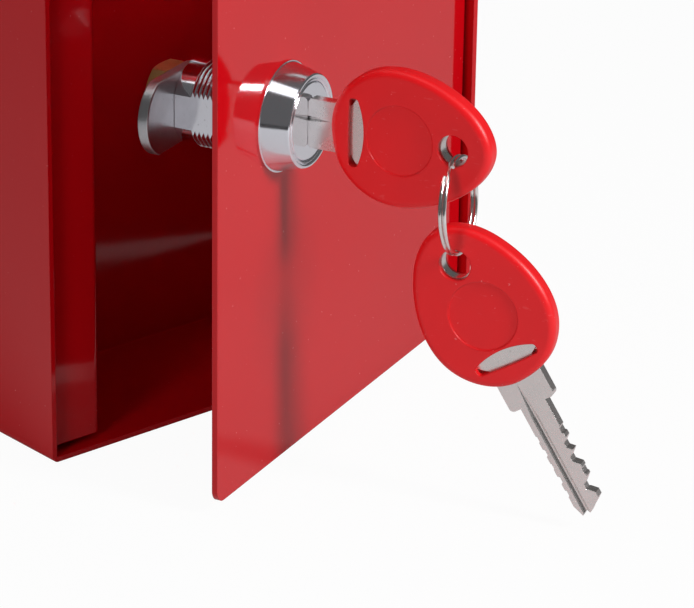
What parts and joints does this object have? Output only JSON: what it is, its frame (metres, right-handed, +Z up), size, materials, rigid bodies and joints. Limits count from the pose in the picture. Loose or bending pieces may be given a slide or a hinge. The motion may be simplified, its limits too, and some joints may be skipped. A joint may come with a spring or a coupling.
{
  "type": "emergency key box",
  "caption": "Small wall-mounted sheet-steel box for an emergency key, with a hinged door, a window, a cam lock, its key and a spare on a split ring.",
  "frame": {"origin": "middle of the four wall-fixing holes, on the box's back face", "axes": "+X right seen from the front, +Y into the wall, +Z up; the door faces -Y"},
  "size_m": [0.12, 0.1362, 0.1518],
  "materials": {
    "red_paint": "smooth gloss powder coat",
    "bright_chrome": "polished plating",
    "zinc_steel": "bright zinc plating",
    "nickel_steel": "nickel plating",
    "yellow_zinc": "yellow zinc plating",
    "wafer_brass": "stamped",
    "nylon": "moulded",
    "red_plastic": "moulded, soft sheen",
    "clear_glass": "plain"
  },
  "bodies": {
    "cabinet": {"cabinet_shell": "red_paint", "catch_strip": "red_paint", "key_hook": "zinc_steel", "hinge_pins": "zinc_steel", "hinge_washers": "nylon"},
    "door": {"door_panel": "red_paint", "glass_pane": "clear_glass", "glass_rail_lower": "red_paint", "glass_rail_upper": "red_paint", "glass_clips": "zinc_steel", "lock_housing": "bright_chrome", "lock_nut": "zinc_steel", "toothed_washer": "zinc_steel"},
    "plug": {"lock_plug": "bright_chrome", "wafer_1": "wafer_brass", "wafer_2": "wafer_brass", "wafer_3": "wafer_brass", "wafer_4": "wafer_brass", "wafer_5": "wafer_brass", "wafer_springs": "zinc_steel", "stop_washer": "zinc_steel", "cam_lever": "zinc_steel", "spring_washer": "zinc_steel", "cam_nut": "yellow_zinc"},
    "key": {"lock_key_blade": "nickel_steel", "lock_key_head": "red_plastic"},
    "ring": {"split_ring": "nickel_steel"},
    "spare": {"spare_key_blade": "nickel_steel", "spare_key_head": "red_plastic"}
  },
  "joints": [
    {"name": "door_swing", "type": "hinge", "parent": "cabinet", "child": "door", "pos_m": [0.053, -0.0358, 0], "axis": [0, 0, 1], "range_deg": [-22, 88]},
    {"name": "lock_turn", "type": "hinge", "parent": "door", "child": "plug", "pos_m": [-0.02285, -0.07043, 0.003], "axis": [-0.3746, 0.9272, 0], "range_deg": [0, 90]},
    {"name": "key_withdraw", "type": "slide", "parent": "plug", "child": "key", "axis": [0.3746, -0.9272, 0], "range_m": [0, 0.03]},
    {"name": "ring_swing", "type": "hinge", "parent": "key", "child": "ring", "pos_m": [-0.00816, -0.10678, 0.003], "axis": [0.9272, 0.3746, 0], "range_deg": [-60, 8]},
    {"name": "spare_key_swing", "type": "hinge", "parent": "ring", "child": "spare", "pos_m": [-0.00783, -0.1076, -0.02118], "axis": [0.8829, 0.4695, 0], "range_deg": [-54, 54]}
  ]
}
